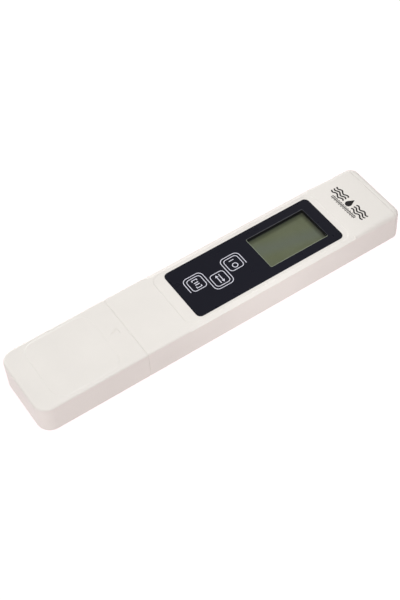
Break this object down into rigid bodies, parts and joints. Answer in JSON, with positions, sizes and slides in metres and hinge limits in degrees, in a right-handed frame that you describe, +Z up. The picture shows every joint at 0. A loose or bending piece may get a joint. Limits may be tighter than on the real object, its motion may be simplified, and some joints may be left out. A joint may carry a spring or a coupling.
{
  "type": "digital water tester",
  "caption": "Flat pen-shaped water tester: push-on probe cap, two-pin conductivity probe, display with flush push keys and a pull-out battery drawer.",
  "frame": {"origin": "centre of the bounding box on the flat underside that the tester rests on", "axes": "+X along the bar from the probe cap to the battery drawer, +Z up out of the display face, +Y to the left when looking along +X with the display up"},
  "size_m": [0.154, 0.03, 0.0127],
  "materials": {
    "shell_white": "satin moulded ABS",
    "screw_steel": "zinc plated",
    "seal_rubber": "matt",
    "probe_metal": "fine ground",
    "red_wire": "wire insulation",
    "black_wire": "wire insulation",
    "label_black": "semi-gloss film",
    "clear_window": "clear",
    "frame_black": "matt",
    "lcd_green": "anti-glare film",
    "lcd_glass": "clear",
    "lcd_silver": "transflective film",
    "zebra_rubber": "layered elastomer",
    "board_green": "solder mask",
    "switch_black": "moulded",
    "plunger_grey": "moulded",
    "blob_black": "epoxy",
    "chip_black": "moulded",
    "chip_tan": "fired",
    "contact_nickel": "nickel plated",
    "cell_steel": "bright drawn"
  },
  "bodies": {
    "housing": {"amplifier_chip": "switch_black", "board_screws": "screw_steel", "cap_seal": "seal_rubber", "case_screws": "screw_steel", "chip_capacitors": "chip_tan", "chip_resistors": "chip_black", "circuit_board": "board_green", "controller_chip": "blob_black", "crystal": "screw_steel", "display_window": "clear_window", "electrode_leads": "red_wire", "electrode_pins": "probe_metal", "face_label": "label_black", "front_shell": "shell_white", "lcd_frame": "frame_black", "lcd_front_polariser": "lcd_green", "lcd_glass_front": "lcd_glass", "lcd_glass_rear": "lcd_glass", "lcd_reflector": "lcd_silver", "negative_contact": "contact_nickel", "positive_contact": "contact_nickel", "probe_head": "shell_white", "rear_cover": "shell_white", "sensor_leads": "black_wire", "switch_bases": "switch_black", "temperature_sensor": "probe_metal", "zebra_strips": "zebra_rubber"},
    "cap": {"probe_cap": "shell_white"},
    "drawer": {"battery_cover": "shell_white", "bridge_contact": "contact_nickel", "left_cell": "cell_steel", "right_cell": "cell_steel"},
    "hold_button": {"hold_key": "label_black", "hold_plunger": "plunger_grey"},
    "shift_button": {"shift_key": "label_black", "shift_plunger": "plunger_grey"},
    "power_button": {"power_key": "label_black", "power_plunger": "plunger_grey"}
  },
  "joints": [
    {"name": "cap_slide", "type": "slide", "parent": "housing", "child": "cap", "axis": [-1, 0, 0], "range_m": [0, 0.045]},
    {"name": "drawer_slide", "type": "slide", "parent": "housing", "child": "drawer", "axis": [1, 0, 0], "range_m": [0, 0.018]},
    {"name": "hold_press", "type": "slide", "parent": "housing", "child": "hold_button", "axis": [0, 0, -1], "range_m": [0, 0.0003], "stiffness_N_per_m": 5000},
    {"name": "shift_press", "type": "slide", "parent": "housing", "child": "shift_button", "axis": [0, 0, -1], "range_m": [0, 0.0003], "stiffness_N_per_m": 5000},
    {"name": "power_press", "type": "slide", "parent": "housing", "child": "power_button", "axis": [0, 0, -1], "range_m": [0, 0.0003], "stiffness_N_per_m": 5000}
  ]
}
